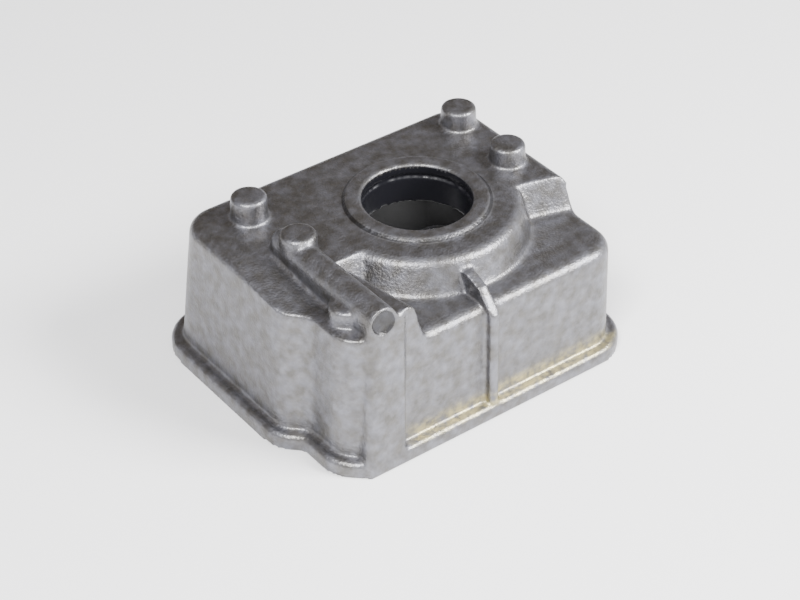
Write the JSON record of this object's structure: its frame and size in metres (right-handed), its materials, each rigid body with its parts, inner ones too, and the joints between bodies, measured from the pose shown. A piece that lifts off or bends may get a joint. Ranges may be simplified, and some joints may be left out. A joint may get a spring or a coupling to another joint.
{
  "type": "bearing housing",
  "caption": "Die cast aluminium bearing housing: a hollow drafted box open at its flange face, with a collared bore, a ridge, a rib and studs on its stepped roof.",
  "frame": {"origin": "centre of the flange's footprint, on the open flange face", "axes": "+Z from the flange face up through the bore, +X along the long front wall, +Y to the rear wall"},
  "size_m": [0.1046, 0.0846, 0.0512],
  "materials": {
    "cast_aluminium": "shot blasted die cast aluminium, fine matt grain with a soft metallic sheen"
  },
  "bodies": {
    "root": {"housing_casting": "cast_aluminium"}
  },
  "joints": []
}
